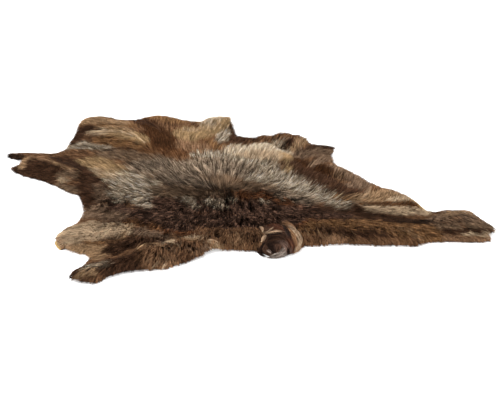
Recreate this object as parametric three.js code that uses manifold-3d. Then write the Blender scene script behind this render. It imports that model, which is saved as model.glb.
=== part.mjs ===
// A tanned reindeer hide, laid on a floor with its hair up. Millimetres, +Z up.
// The hide is one piece of skin that keeps its hair. The neck is cut straight at the far side (+Y),
// the tail lies at the near side (-Y), the forelegs and hind legs reach out to the left and right,
// and a rounded flank flap stands between the two legs of each side.
// The solid is the skin with its pile: its underside is the skin, flat on the floor except under
// the folds, and its top is where the tips of the hair lie.
import * as THREE from "three";
import Module from "manifold-3d";
import { mergeVertices } from "three/addons/utils/BufferGeometryUtils.js";

const wasm = await Module();
wasm.setup();

// ---- driving dimensions ----
const PILE_BODY = 25; // skin and hair over the back
const PILE_RIM = 9; // skin and hair at the cut edge, where the hair lies down
const RIM_RUN = 60; // how far in from the edge the pile reaches its full depth
const CELL = 22.5; // spacing of the facets that follow the folds
const STEPS_PER_POINT = 3; // facets of the edge between two of its points
const BLANK = { width: 1490, depth: 1140, height: 10 }; // the block that the hide is shaped from
const CUTTER = { bottom: -20, height: 240 }; // how far the cutting prism reaches, past every fold
const COLOUR = "#5b4230"; // dark brown winter coat

// ---- the cut edge ----
// Clockwise seen from above. Each run starts and ends in a corner and is smooth in between.
const EDGE = [
  { run: "left foreleg, front side",
    through: [[-725, 214], [-704, 240], [-635, 238], [-565, 236], [-540, 258]] },
  { run: "neck, left side", through: [[-540, 258], [-530, 350], [-524, 455], [-510, 528]] },
  { run: "neck, cut end",
    through: [[-510, 528], [-448, 542], [-365, 506], [-260, 545], [-146, 492], [-20, 488]] },
  { run: "neck, right side", through: [[-20, 488], [-4, 425], [8, 365]] },
  { run: "right shoulder", through: [[8, 365], [34, 358], [75, 338], [146, 306], [200, 290], [226, 272]] },
  { run: "right foreleg, front side", through: [[226, 272], [250, 250], [284, 236], [322, 220]] },
  { run: "right foreleg, back side", through: [[322, 220], [306, 168], [318, 112]] },
  { run: "right flank, behind the foreleg", through: [[318, 112], [355, 82], [388, 40], [402, 4]] },
  { run: "right flank flap",
    through: [[402, 4], [455, -22], [502, -50], [526, -90], [548, -144], [574, -178]] },
  { run: "right hind leg, outer side",
    through: [[574, -178], [616, -186], [656, -192], [690, -224], [725, -284]] },
  { run: "right hind leg, split end", through: [[725, -284], [700, -308], [714, -330]] },
  { run: "right hind leg, inner side", through: [[714, -330], [640, -336], [540, -334], [498, -358]] },
  { run: "rump, right of the tail", through: [[498, -358], [408, -356], [290, -350], [194, -358]] },
  { run: "tail", through: [[194, -358], [170, -394], [112, -416], [70, -388]] },
  { run: "rump, left of the tail",
    through: [[70, -388], [4, -382], [-44, -388], [-92, -430], [-140, -462]] },
  { run: "left hind leg, inner side",
    through: [[-140, -462], [-180, -480], [-235, -487], [-298, -514], [-329, -548]] },
  { run: "left hind leg, end", through: [[-329, -548], [-368, -545], [-408, -532]] },
  { run: "left hind leg, outer side", through: [[-408, -532], [-400, -498], [-378, -453], [-368, -412]] },
  { run: "left flank flap",
    through: [[-368, -412], [-410, -390], [-450, -374], [-473, -330], [-462, -280], [-431, -236]] },
  { run: "left flank", through: [[-431, -236], [-421, -178], [-430, -117], [-450, -60]] },
  { run: "left foreleg, back side",
    through: [[-450, -60], [-492, -32], [-546, 18], [-588, 46], [-650, 82], [-692, 124]] },
  { run: "left foreleg, split end", through: [[-692, 124], [-656, 166], [-725, 214]] },
];

// ---- folds, where the skin stands off the floor ----
// half is half the fold's width, and lift is how high the skin stands along its crest.
const FOLDS = [
  { fold: "ridge beside the right shoulder", from: [90, 210], to: [170, 115], half: 75, lift: 20 },
  { fold: "ridge along the right flank", from: [170, 115], to: [335, -105], half: 70, lift: 19 },
  { fold: "right shoulder ruffle, rising", from: [95, 305], to: [150, 285], half: 48, lift: 24 },
  { fold: "right shoulder ruffle, crest", from: [150, 285], to: [214, 268], half: 52, lift: 44 },
  { fold: "right foreleg, lifted rim", from: [245, 222], to: [312, 206], half: 55, lift: 30 },
  { fold: "right flank, outer roll", from: [250, 130], to: [320, 55], half: 58, lift: 17 },
  { fold: "right flank, outer roll end", from: [320, 55], to: [388, -12], half: 48, lift: 12 },
  { fold: "right flap, soft crest", from: [420, -75], to: [515, -112], half: 45, lift: 6 },
  { fold: "right hind leg, lifted rim", from: [590, -212], to: [655, -208], half: 58, lift: 22 },
  { fold: "right hind leg, rim to the tip", from: [655, -208], to: [705, -272], half: 40, lift: 12 },
  { fold: "rump roll, right", from: [200, -300], to: [480, -308], half: 55, lift: 13 },
  { fold: "rump roll, left", from: [-45, -330], to: [60, -330], half: 55, lift: 13 },
  { fold: "thigh roll, left", from: [-230, -435], to: [-60, -360], half: 58, lift: 16 },
  { fold: "left hind leg, crest", from: [-385, -518], to: [-240, -452], half: 38, lift: 12 },
  { fold: "left flank flap, crest", from: [-440, -325], to: [-290, -262], half: 52, lift: 8 },
  { fold: "left foreleg, long ridge", from: [-645, 178], to: [-450, 62], half: 42, lift: 13 },
  { fold: "neck, left ridge", from: [-480, 455], to: [-235, 310], half: 75, lift: 9 },
  { fold: "neck, lifted right corner", from: [-70, 448], to: [-22, 462], half: 58, lift: 24 },
];

// ---- creases, where the hair parts and the pile is thin ----
const CREASES = [
  { crease: "between the ridge and the right shoulder", from: [150, 212], to: [205, 85], half: 42, depth: 12 },
  { crease: "between the ridge and the right flank", from: [205, 85], to: [345, -88], half: 40, depth: 12 },
  { crease: "slot in the shoulder ruffle", from: [214, 292], to: [158, 225], half: 24, depth: 11 },
  { crease: "between the flap and the hind leg", from: [300, -195], to: [560, -212], half: 34, depth: 11 },
  { crease: "along the right hind leg", from: [572, -246], to: [700, -304], half: 24, depth: 6 },
  { crease: "between the back and the rump", from: [-110, -268], to: [170, -252], half: 32, depth: 11 },
  { crease: "beside the left hind leg", from: [-372, -462], to: [-215, -368], half: 30, depth: 8 },
  { crease: "across the left flank flap", from: [-430, -348], to: [-310, -350], half: 22, depth: 4 },
  { crease: "behind the left shoulder", from: [-345, -172], to: [-262, -88], half: 40, depth: 9 },
  { crease: "beside the left foreleg", from: [-560, 190], to: [-430, 15], half: 32, depth: 8 },
  { crease: "down the neck", from: [-350, 500], to: [-150, 175], half: 48, depth: 6 },
];

// ---- where the winter hair stands deepest ----
const DEEP_HAIR = [
  { place: "back, over the shoulders", from: [-305, 10], to: [-95, 0], half: 170, depth: 13 },
  { place: "back, over the loins", from: [-95, 0], to: [275, -185], half: 170, depth: 15 },
];

// The tail is a short thick tuft, drawn as an upturned bowl on the rump.
const TAIL = { x: 124, y: -368, reachX: 62, reachY: 50, height: 30 };

// ---- the shape ----
const smoothBump = (u) => (u < 1 ? (1 - u * u) ** 2 : 0);

// Distance from a point to the stretch between two points.
function distanceTo(x, y, [ax, ay], [bx, by]) {
  const run = (bx - ax) ** 2 + (by - ay) ** 2;
  const along = ((x - ax) * (bx - ax) + (y - ay) * (by - ay)) / run;
  const t = Math.min(1, Math.max(0, along));
  return Math.hypot(x - ax - t * (bx - ax), y - ay - t * (by - ay));
}

function edgeShape() {
  const shape = new THREE.Shape();
  shape.moveTo(...EDGE[0].through[0]);
  for (const { through } of EDGE) {
    shape.splineThru(through.slice(1).map(([x, y]) => new THREE.Vector2(x, y)));
  }
  return shape;
}

const outline = edgeShape();
const edgePoints = outline.getPoints(STEPS_PER_POINT).map((p) => [p.x, p.y]);

// Distance from a point to the cut edge, 0 outside the hide.
function distanceInside(x, y) {
  let nearest = Infinity;
  let inside = false;
  edgePoints.forEach((a, i) => {
    const b = edgePoints[(i + 1) % edgePoints.length];
    if (a[0] === b[0] && a[1] === b[1]) return;
    nearest = Math.min(nearest, distanceTo(x, y, a, b));
    const spans = a[1] > y !== b[1] > y;
    if (spans && x < a[0] + ((b[0] - a[0]) * (y - a[1])) / (b[1] - a[1])) inside = !inside;
  });
  return inside ? nearest : 0;
}

// The largest of a table's long bumps at a point, each as high as the row's named size says.
function highest(table, size, x, y) {
  const bumps = table.map((row) => row[size] * smoothBump(distanceTo(x, y, row.from, row.to) / row.half));
  return Math.max(0, ...bumps);
}

// Thickness of skin and pile together.
function pileDepth(x, y) {
  const share = Math.min(1, distanceInside(x, y) / RIM_RUN);
  const full = PILE_RIM + (PILE_BODY - PILE_RIM) * share * share * (3 - 2 * share);
  const back = highest(DEEP_HAIR, "depth", x, y);
  const parted = highest(CREASES, "depth", x, y);
  const tuft = TAIL.height * smoothBump(Math.hypot((x - TAIL.x) / TAIL.reachX, (y - TAIL.y) / TAIL.reachY));
  return Math.max(PILE_RIM, full + back - parted) + tuft;
}

// A closed mesh as a solid that can be cut.
function solidOf(geometry) {
  geometry.deleteAttribute("normal");
  geometry.deleteAttribute("uv");
  const merged = mergeVertices(geometry, 1e-3);
  return new wasm.Manifold(
    new wasm.Mesh({
      numProp: 3,
      vertProperties: new Float32Array(merged.attributes.position.array),
      triVerts: new Uint32Array(merged.index.array),
    }),
  );
}

// A block in small cells, with its two faces bent to the skin and to the tips of the hair.
function blankSolid() {
  const { width, depth, height } = BLANK;
  const block = new THREE.BoxGeometry(
    width, depth, height, Math.round(width / CELL), Math.round(depth / CELL), 1,
  );
  const place = block.attributes.position;
  for (let i = 0; i < place.count; i += 1) {
    const x = place.getX(i);
    const y = place.getY(i);
    const skin = highest(FOLDS, "lift", x, y);
    place.setZ(i, place.getZ(i) > 0 ? skin + pileDepth(x, y) : skin);
  }
  return solidOf(block);
}

function cutterSolid() {
  const prism = new THREE.ExtrudeGeometry(outline, {
    depth: CUTTER.height,
    bevelEnabled: false,
    curveSegments: STEPS_PER_POINT,
  });
  prism.translate(0, 0, CUTTER.bottom);
  return solidOf(prism);
}

function geometryOf(solid) {
  const { vertProperties, triVerts, numProp, numVert } = solid.getMesh();
  const places = new Float32Array(numVert * 3);
  for (let i = 0; i < numVert; i += 1) {
    places.set(vertProperties.subarray(i * numProp, i * numProp + 3), i * 3);
  }
  const geometry = new THREE.BufferGeometry();
  geometry.setAttribute("position", new THREE.BufferAttribute(places, 3));
  geometry.setIndex(new THREE.BufferAttribute(new Uint32Array(triVerts), 1));
  return geometry;
}

// The origin is the middle of the hide's bounding box, on the floor.
function centred(geometry) {
  geometry.computeBoundingBox();
  const middle = geometry.boundingBox.getCenter(new THREE.Vector3());
  geometry.translate(-middle.x, -middle.y, -geometry.boundingBox.min.z);
  geometry.computeVertexNormals();
  return geometry;
}

const hide = new THREE.Mesh(
  centred(geometryOf(blankSolid().intersect(cutterSolid()))),
  new THREE.MeshStandardMaterial({ color: COLOUR, roughness: 0.9, metalness: 0 }),
);
hide.name = "hide";

const group = new THREE.Group();
group.add(hide);

export default group;
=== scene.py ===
# %% [markdown]
# # A tanned reindeer hide with its winter hair
#
# A hide is one sheet of leather that still carries its coat. This lesson lays a thin skin on the
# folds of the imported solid, and then grows more than three hundred thousand hairs on it.
#
# Blender's own hair system could grow the coat too, but a strand of it is a curve that leaves the
# scene as nothing. Here each hair is a narrow tapered ribbon in a joined mesh, made with arrays, so
# the coat is plain geometry that any program can show.

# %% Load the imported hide
import math
from collections import namedtuple

import bmesh
import bpy
import numpy as np
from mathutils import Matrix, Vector, noise
from mathutils.bvhtree import BVHTree


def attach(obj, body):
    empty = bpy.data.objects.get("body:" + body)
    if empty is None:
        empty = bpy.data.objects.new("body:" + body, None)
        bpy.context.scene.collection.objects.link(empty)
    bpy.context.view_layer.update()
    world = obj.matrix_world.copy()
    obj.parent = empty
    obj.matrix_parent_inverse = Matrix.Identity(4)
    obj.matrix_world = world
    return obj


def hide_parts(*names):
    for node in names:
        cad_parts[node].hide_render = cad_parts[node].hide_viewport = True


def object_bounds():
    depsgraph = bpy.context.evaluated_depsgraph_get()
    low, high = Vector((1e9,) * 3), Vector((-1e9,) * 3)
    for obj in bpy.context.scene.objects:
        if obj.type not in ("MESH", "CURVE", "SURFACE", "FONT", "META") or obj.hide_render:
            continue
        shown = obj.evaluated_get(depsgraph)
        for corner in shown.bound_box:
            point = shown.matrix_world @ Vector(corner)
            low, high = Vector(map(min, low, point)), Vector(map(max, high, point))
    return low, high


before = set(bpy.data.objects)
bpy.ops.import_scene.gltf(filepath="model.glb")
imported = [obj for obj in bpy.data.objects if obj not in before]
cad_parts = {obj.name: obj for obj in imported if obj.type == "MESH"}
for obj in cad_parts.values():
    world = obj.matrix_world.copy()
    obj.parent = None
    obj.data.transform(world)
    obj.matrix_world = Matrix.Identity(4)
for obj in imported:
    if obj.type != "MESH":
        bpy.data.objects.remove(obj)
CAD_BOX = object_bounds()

MM = 0.001
rng = np.random.default_rng(20)
print("the hide measures", [round(v, 3) for v in CAD_BOX[1] - CAD_BOX[0]], "m")

# %% [markdown]
# ## The camera
#
# The hide lies on the floor and is seen from 1.4 metres up and three metres away, with a long lens.
# The camera could be aimed by a constraint, but a plain place and turn say the same with less.

# %% Camera
TILT = math.radians(63)  # from straight down, so the hide is seen from 27 degrees above the floor
CAMERA_PLACE = (0.0500, -2.7491, 1.3620)
LENS = 74.375  # in millimetres, for a sensor 36 millimetres wide
bpy.ops.object.camera_add(location=CAMERA_PLACE, rotation=(TILT, 0, 0))
camera = bpy.context.object
camera.data.lens = LENS
camera.data.sensor_width = 36
bpy.context.scene.camera = camera

# %% [markdown]
# ## Colours and nodes
#
# The colours are written as sRGB hex values, as a dye chart gives them. Blender's shaders count in
# linear light, so one function turns them over. One more function adds a node with its settings and
# links, which keeps each material down to a few lines.


# %% Helpers for colours and nodes
def linear(hex_colour):
    """An sRGB hex colour as linear red, green and blue."""
    parts = [int(hex_colour[i : i + 2], 16) / 255 for i in (1, 3, 5)]
    return tuple(c / 12.92 if c <= 0.04045 else ((c + 0.055) / 1.055) ** 2.4 for c in parts)


def add_node(tree, kind, values=(), links=(), **settings):
    """A node with its settings, its input values and its links from (node, output) pairs."""
    node = tree.nodes.new(kind)
    for key, value in settings.items():
        setattr(node, key, value)
    for socket, value in dict(values).items():
        node.inputs[socket].default_value = value
    for socket, (source, output) in dict(links).items():
        tree.links.new(source.outputs[output], node.inputs[socket])
    return node


def new_finish(name):
    """A material with an empty tree but for its shader, which is returned with the tree."""
    finish = bpy.data.materials.new(name)
    finish.use_nodes = True
    return finish, finish.node_tree, finish.node_tree.nodes["Principled BSDF"]


# %% [markdown]
# ## Reading the solid
#
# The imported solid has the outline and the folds. Its underside is where the skin lies, and its top is
# where the tips of the hair end. Rays shot from below and from above read both, and the edges where
# the underside meets a wall are the cut edge.

# %% Rays and the cut edge
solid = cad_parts["hide"]
solid_tree = BVHTree.FromObject(solid, bpy.context.evaluated_depsgraph_get())
UP = Vector((0, 0, 1))
ABOVE, BELOW = 1.0, -1.0


def heights(tree, points, from_below=False):
    """Where rays along Z meet a tree over each point, with the faces' normals. A miss is not a number."""
    start, way = (BELOW, UP) if from_below else (ABOVE, -UP)
    found = [tree.ray_cast(Vector((x, y, start)), way) for x, y in points]
    z = np.array([hit.z if hit else np.nan for hit, *_ in found])
    normals = np.array([normal if hit else UP for hit, normal, *_ in found])
    return z, normals


def cut_edge_of(piece):
    """The stretches of the cut edge, as two arrays of corners seen from above."""
    shape = bmesh.new()
    shape.from_mesh(piece.data)
    bmesh.ops.remove_doubles(shape, verts=shape.verts, dist=0.01 * MM)
    rim = []
    for edge in shape.edges:
        tilts = sorted(face.normal.z for face in edge.link_faces)
        if len(tilts) == 2 and tilts[0] < -0.2 and abs(tilts[1]) < 0.1:
            rim.append([vert.co.xy for vert in edge.verts])
    shape.free()
    rim = np.array(rim)
    return rim[:, 0], rim[:, 1]


EDGE_STARTS, EDGE_ENDS = cut_edge_of(solid)
print("the cut edge has", len(EDGE_STARTS), "stretches")


def nearest_edge(points):
    """How far each point is from the cut edge, and the nearest point on it."""
    run = EDGE_ENDS - EDGE_STARTS
    squared = (run**2).sum(1)
    apart, nearest = np.empty(len(points)), np.empty((len(points), 2))
    for part in np.array_split(np.arange(len(points)), len(points) // 4000 + 1):
        away = points[part, None] - EDGE_STARTS
        along = np.clip((away * run).sum(2) / squared, 0, 1)
        at = EDGE_STARTS + along[..., None] * run
        gaps = np.linalg.norm(points[part, None] - at, axis=2)
        best = gaps.argmin(1)
        rows = np.arange(len(part))
        apart[part], nearest[part] = gaps[rows, best], at[rows, best]
    return apart, nearest


# %% [markdown]
# ## Places in the camera's frame
#
# Folds, combing strokes and markings could all be placed in millimetres. It is easier to point at
# them in the camera's frame, which is 500 pixels wide and 400 high, and to let a ray find the place
# on the hide, because a ray always lands on the surface that carries the piece.

# %% From a pixel to the hide
FRAME_WIDTH, FRAME_HEIGHT = 500, 400
RIM_HEIGHT = 8 * MM  # a pixel just past the far rim is taken to lie this high
LENS_REACH = camera.data.lens / camera.data.sensor_width * FRAME_WIDTH  # in pixels


def seen_through(pixel):
    """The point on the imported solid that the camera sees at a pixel, and the normal there."""
    way = Vector((pixel[0] - FRAME_WIDTH / 2, FRAME_HEIGHT / 2 - pixel[1], -LENS_REACH))
    way.rotate(camera.rotation_euler)
    hit, normal, *_ = solid_tree.ray_cast(camera.location, way)
    if hit is None:
        hit = camera.location + way * ((RIM_HEIGHT - camera.location.z) / way.z)
        normal = UP
    return np.array(hit), np.array(normal)


def seen_at(pixel):
    """The place, from above, that the camera sees at a pixel."""
    return seen_through(pixel)[0][:2]


print("the middle of the frame is at", seen_at((FRAME_WIDTH / 2, FRAME_HEIGHT / 2)).round(3))

# %% [markdown]
# ## The skin
#
# Tanned reindeer skin is about two millimetres thick. It starts as a flat grid of nine millimetre
# cells. Faces outside the outline are deleted, the vertices along the new edge are pulled onto a line
# a little inside the cut edge, and every vertex then drops onto the solid's underside. Cutting the
# outline with a boolean would be exact, but it would leave long thin triangles that crease badly.
#
# The solid has the main folds. The smaller ones, that a hand would push into the leather while it is
# laid out, are ridges from a short table. The hair hides the cut edge nearly all the way round, and at
# a few places it is worn back from it, so the yellow edge of the leather shows there.

# %% Small folds in the skin
Ridge = namedtuple("Ridge", "place start end half rise")
SMALL_FOLDS = [  # ends in pixels, half width and rise in millimetres
    Ridge("neck, first ripple", (92, 133), (142, 139), 26, 7),
    Ridge("neck, second ripple", (95, 127), (132, 129), 20, 5),
    Ridge("left foreleg, ridge", (28, 161), (80, 172), 20, 8),
    Ridge("left flank flap, upper ripple", (70, 229), (118, 224), 22, 7),
    Ridge("left flank flap, lower ripple", (68, 246), (112, 238), 18, 5),
    Ridge("thigh, long curl", (136, 235), (172, 239), 24, 9),
    Ridge("thigh, short curl", (160, 245), (185, 243), 20, 8),
    Ridge("thigh, near curl", (132, 254), (158, 248), 18, 6),
    Ridge("left hind leg, ridge", (84, 269), (112, 263), 16, 6),
    Ridge("rump, long ripple", (350, 227), (420, 232), 22, 5),
    Ridge("right hind leg, crest", (440, 216), (466, 214), 18, 5),
    Ridge("right hind leg, ripple", (452, 224), (492, 233), 18, 5),
    Ridge("right flap, ridge", (364, 201), (410, 203), 20, 7),
    Ridge("right flank, upper ripple", (306, 153), (327, 161), 24, 8),
    Ridge("right flank, lower ripple", (318, 167), (338, 173), 22, 8),
    Ridge("right shoulder, ripple", (246, 140), (282, 136), 20, 7),
]
BareRim = namedtuple("BareRim", "place start end half strip")
BARE_RIMS = [  # where the cut edge shows: ends in pixels; half width and the hairless strip in millimetres
    BareRim("right flap", (402, 195), (414, 202), 32, 17),
    BareRim("left flank flap", (56, 239), (59, 247), 7, 6),
]


def nearness(points, start, end, half):
    """How far each point is from a stretch between two places, counted in half widths."""
    run = end - start
    along = np.clip((points - start) @ run / (run @ run), 0, 1)
    return np.linalg.norm(points - start - along[:, None] * run, axis=1) / (half * MM)


def small_fold_height(points):
    """The height that the small folds add to the skin."""
    rise = np.zeros(len(points))
    for fold in SMALL_FOLDS:
        apart = nearness(points, seen_at(fold.start), seen_at(fold.end), fold.half)
        rise = np.maximum(rise, fold.rise * MM * np.clip(1 - apart**2, 0, 1) ** 2)
    return rise


def bareness(points):
    """How bare the cut edge is near each point, from 0 to 1, and how wide the hairless strip is there."""
    bare, strip = np.zeros(len(points)), np.zeros(len(points))
    for rim in BARE_RIMS:
        near = np.clip(2 - nearness(points, seen_at(rim.start), seen_at(rim.end), rim.half), 0, 1)
        bare, strip = np.maximum(bare, near), np.maximum(strip, near * rim.strip * MM)
    return bare, strip


# %% Lay the skin
SKIN_THICKNESS = 2.2 * MM
SKIN_CELL = 9 * MM
SKIN_INSET = 8 * MM  # how far the hair reaches past the skin's edge
BARE_INSET = -1.5 * MM  # where it is bared, the skin reaches a little past the solid's edge
BARE_YELLOW = 22 * MM  # the bared edge is yellow this far in


def skin_inset(points):
    """How far the skin's edge lies inside the cut edge of the solid."""
    return SKIN_INSET + (BARE_INSET - SKIN_INSET) * bareness(points)[0]


def lay_skin():
    """The sheet of leather, on the solid's underside, with its top up."""
    low, high = CAD_BOX
    span = high - low
    bpy.ops.object.select_all(action="DESELECT")
    bpy.ops.mesh.primitive_grid_add(
        x_subdivisions=round(span.x / SKIN_CELL),
        y_subdivisions=round(span.y / SKIN_CELL),
        size=1,
        location=(low + high) / 2 * Vector((1, 1, 0)),
    )
    sheet = bpy.context.object
    sheet.name = sheet.data.name = "skin"
    sheet.scale = (span.x, span.y, 1)
    bpy.ops.object.transform_apply(location=True, rotation=False, scale=True)

    shape = bmesh.new()
    shape.from_mesh(sheet.data)
    middles = np.array([face.calc_center_median().xy for face in shape.faces])
    apart, _ = nearest_edge(middles)
    apart[np.isnan(heights(solid_tree, middles)[0])] = -1
    outer = [face for face, far, inset in zip(shape.faces, apart, skin_inset(middles)) if far < inset]
    bmesh.ops.delete(shape, geom=outer, context="FACES")
    rim = [vert for vert in shape.verts if vert.is_boundary]
    places = np.array([vert.co.xy for vert in rim])
    apart, nearest = nearest_edge(places)
    within = ~np.isnan(heights(solid_tree, places)[0])
    way = (places - nearest) / apart[:, None] * np.where(within, 1, -1)[:, None]
    for vert, (x, y) in zip(rim, nearest + way * skin_inset(nearest)[:, None]):
        vert.co.x, vert.co.y = x, y
    places = np.array([vert.co.xy for vert in shape.verts])
    z = np.nan_to_num(heights(solid_tree, places, from_below=True)[0]) + small_fold_height(places)
    for vert, height in zip(shape.verts, z):
        vert.co.z = height
    shape.to_mesh(sheet.data)
    shape.free()
    return sheet


skin = lay_skin()

# %% Give the skin its thickness
thickness = skin.modifiers.new("thickness", "SOLIDIFY")
thickness.thickness = SKIN_THICKNESS
thickness.offset = 1
thickness.material_offset = 1
thickness.material_offset_rim = 2
bpy.ops.object.modifier_apply(modifier=thickness.name)
for vert in skin.data.vertices:
    vert.co.z = max(vert.co.z, 0)
middles = np.array([face.center.xy for face in skin.data.polygons])
bared = (bareness(middles)[0] > 0.5) & (nearest_edge(middles)[0] < BARE_YELLOW)
for face in np.array(skin.data.polygons)[bared]:
    face.material_index = 2
bpy.ops.object.shade_smooth_by_angle(angle=math.radians(50))
skin_tree = BVHTree.FromObject(skin, bpy.context.evaluated_depsgraph_get())

# %% [markdown]
# ## Which way the hair lies
#
# The hair fans out from a whorl in the middle of the back. On the far half it lies away from us, on
# the legs it runs to their tips, and along the near edge it hangs down. The table has one combing
# stroke a row. Between the strokes, each place follows the strokes around it, the nearest most.

# %% The combing strokes
Stroke = namedtuple("Stroke", "place at seen lift stir")
STROKES = [  # pixels, the way that the tips are seen to point (right, down), and degrees: lift and stir
    Stroke("left foreleg, tip", (20, 158), (-1, -0.1), 12, 10),
    Stroke("left foreleg, middle", (45, 168), (-1, -0.12), 15, 10),
    Stroke("left foreleg, root", (75, 170), (-1, -0.2), 20, 10),
    Stroke("behind the left shoulder", (92, 182), (-1, -0.1), 20, 12),
    Stroke("left flank", (90, 200), (-1, -0.08), 20, 14),
    Stroke("left flank flap, upper side", (75, 226), (-1, 0.12), 15, 9),
    Stroke("left flank flap, tip", (62, 238), (-1, 0.05), 12, 9),
    Stroke("left flank flap, root", (120, 230), (-1, 0.35), 18, 9),
    Stroke("left flank flap, lower side", (85, 247), (-1, 0.1), 15, 9),
    Stroke("left hind leg, tip", (78, 276), (-1, 0.35), 12, 9),
    Stroke("left hind leg, middle", (105, 266), (-1, 0.3), 12, 9),
    Stroke("left thigh", (130, 252), (-1, 0.25), 14, 30),
    Stroke("left thigh, near edge", (150, 262), (-0.15, 1), 8, 20),
    Stroke("left thigh, near edge, right end", (170, 262), (0.1, 1), 8, 20),
    Stroke("left thigh, curls", (165, 238), (-0.7, 0.3), 16, 40),
    Stroke("rump, left end", (195, 245), (0.35, 1), 9, 20),
    Stroke("rump, left", (225, 240), (0.1, 1), 9, 20),
    Stroke("rump, beside the tail", (250, 240), (-0.1, 1), 9, 20),
    Stroke("rump, right of the tail", (308, 238), (0.4, 1), 9, 20),
    Stroke("rump, right", (340, 236), (0.9, 0.75), 10, 20),
    Stroke("rump, far right", (385, 236), (1, 0.55), 10, 18),
    Stroke("rump roll, top", (350, 224), (1, 0.2), 12, 20),
    Stroke("right hind leg, root", (430, 232), (1, 0.35), 12, 6),
    Stroke("right hind leg, rim", (455, 220), (1, 0.25), 10, 5),
    Stroke("right hind leg, tip", (485, 228), (1, 0.4), 12, 6),
    Stroke("right hind leg, lower strip", (470, 238), (1, 0.2), 12, 9),
    Stroke("crease beside the right flap", (400, 214), (1, 0.15), 15, 9),
    Stroke("right flap, crest", (400, 200), (0.8, -0.8), 18, 9),
    Stroke("right flap, middle", (375, 193), (0.55, -1), 20, 9),
    Stroke("right flap, near the flank", (352, 188), (0.45, -1), 20, 9),
    Stroke("right flap, lower side", (415, 211), (1, 0.05), 16, 9),
    Stroke("right flank, near end", (340, 178), (0.4, -1), 22, 14),
    Stroke("right flank, middle", (325, 163), (0.6, -0.9), 20, 14),
    Stroke("right foreleg", (315, 150), (1, -0.2), 14, 10),
    Stroke("right shoulder ruffle, flap", (296, 142), (0.3, -1), 16, 9),
    Stroke("right shoulder ruffle, rim", (270, 137), (0.8, -0.6), 18, 12),
    Stroke("ridge, top", (275, 148), (0.6, -1), 28, 12),
    Stroke("ridge, middle", (292, 160), (0.75, -1), 30, 12),
    Stroke("saddle, right", (275, 170), (0.8, -0.9), 35, 13),
    Stroke("saddle, far right", (305, 180), (0.9, -0.85), 33, 13),
    Stroke("saddle, right end", (335, 193), (1, -0.6), 30, 13),
    Stroke("saddle, near right end", (355, 203), (1, -0.25), 26, 13),
    Stroke("saddle, right of the middle", (250, 165), (0.5, -1), 40, 13),
    Stroke("saddle, middle", (225, 160), (0.1, -1), 42, 13),
    Stroke("saddle, left of the middle", (205, 160), (-0.25, -1), 42, 13),
    Stroke("saddle, left", (185, 162), (-0.7, -0.8), 38, 13),
    Stroke("saddle, far left", (160, 168), (-1, -0.6), 35, 13),
    Stroke("saddle, left end", (130, 162), (-1, -0.5), 30, 13),
    Stroke("pale streak", (120, 180), (-1, -0.6), 30, 12),
    Stroke("beside the left shoulder", (95, 160), (-1, -0.35), 25, 12),
    Stroke("whorl, left side", (198, 181), (-1, -0.2), 34, 24),
    Stroke("whorl, far side", (222, 176), (0, -1), 45, 22),
    Stroke("whorl, right side", (248, 181), (1, -0.3), 34, 24),
    Stroke("dark band, left", (150, 200), (-1, 0.1), 15, 22),
    Stroke("dark band, middle", (215, 203), (-0.7, 0.6), 15, 24),
    Stroke("dark band, right", (280, 203), (1, 0.2), 15, 22),
    Stroke("dark band, far right", (340, 212), (1, 0.15), 14, 16),
    Stroke("dark band, near side", (210, 217), (-1, 0.4), 14, 22),
    Stroke("dark band, near side, right", (268, 217), (1, 0.4), 14, 22),
    Stroke("below the whorl", (222, 192), (0.1, 1), 20, 24),
    Stroke("below the whorl, right", (252, 194), (0.9, 0.5), 18, 24),
    Stroke("rosette", (108, 196), (-1, 0.3), 18, 44),
    Stroke("neck, left edge", (78, 135), (-1, 0.05), 18, 9),
    Stroke("neck, left side", (110, 133), (-1, -0.05), 20, 9),
    Stroke("neck, left corner", (95, 120), (-1, -0.2), 15, 9),
    Stroke("neck, cut end", (150, 120), (-0.1, -1), 20, 9),
    Stroke("neck, middle", (160, 135), (-0.3, -1), 25, 9),
    Stroke("neck, right", (195, 130), (0.6, -1), 25, 9),
    Stroke("neck, right rim", (220, 122), (0.7, -1), 20, 9),
    Stroke("neck, right side", (225, 138), (0.8, -0.9), 22, 9),
    Stroke("between the shoulders, left", (130, 148), (-1, -0.3), 25, 12),
    Stroke("between the shoulders", (180, 145), (-0.3, -1), 30, 12),
]


def heading_of(stroke):
    """The heading, from above, whose lifted hair the camera sees pointing the way of the stroke."""
    right, up = (camera.rotation_euler.to_matrix().col[i] for i in (0, 1))
    turn = np.radians(np.arange(360))
    lift = math.radians(stroke.lift)
    hairs = np.stack([np.cos(turn), np.sin(turn), np.full(360, math.tan(lift))], 1)
    shown = unit(np.stack([hairs @ np.array(right), -hairs @ np.array(up)], 1))
    lying = np.stack([np.cos(turn), -np.sin(turn)], 1)  # two headings can look alike, so this settles it
    best = turn[((shown + 0.05 * lying) @ np.array(stroke.seen)).argmax()]
    return math.cos(best), math.sin(best)


def unit(vectors):
    """Vectors brought to a length of one."""
    return vectors / np.linalg.norm(vectors, axis=-1, keepdims=True)


STROKE_PLACES = np.array([seen_at(stroke.at) for stroke in STROKES])
STROKE_WAYS = np.array([heading_of(stroke) for stroke in STROKES])
STROKE_LIFTS = np.array([(stroke.lift, stroke.stir) for stroke in STROKES])
STROKE_REACH = 35 * MM  # a stroke holds its own heading about this far


def combed(points):
    """The heading, lift and stir of the hair at each point, from the strokes around it."""
    squared = ((points[:, None] - STROKE_PLACES) ** 2).sum(2)
    weight = 1 / (squared + STROKE_REACH**2) ** 2
    weight /= weight.sum(1, keepdims=True)
    way = weight @ STROKE_WAYS
    lift, stir = (weight @ STROKE_LIFTS).T
    return unit(way), lift, stir


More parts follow.
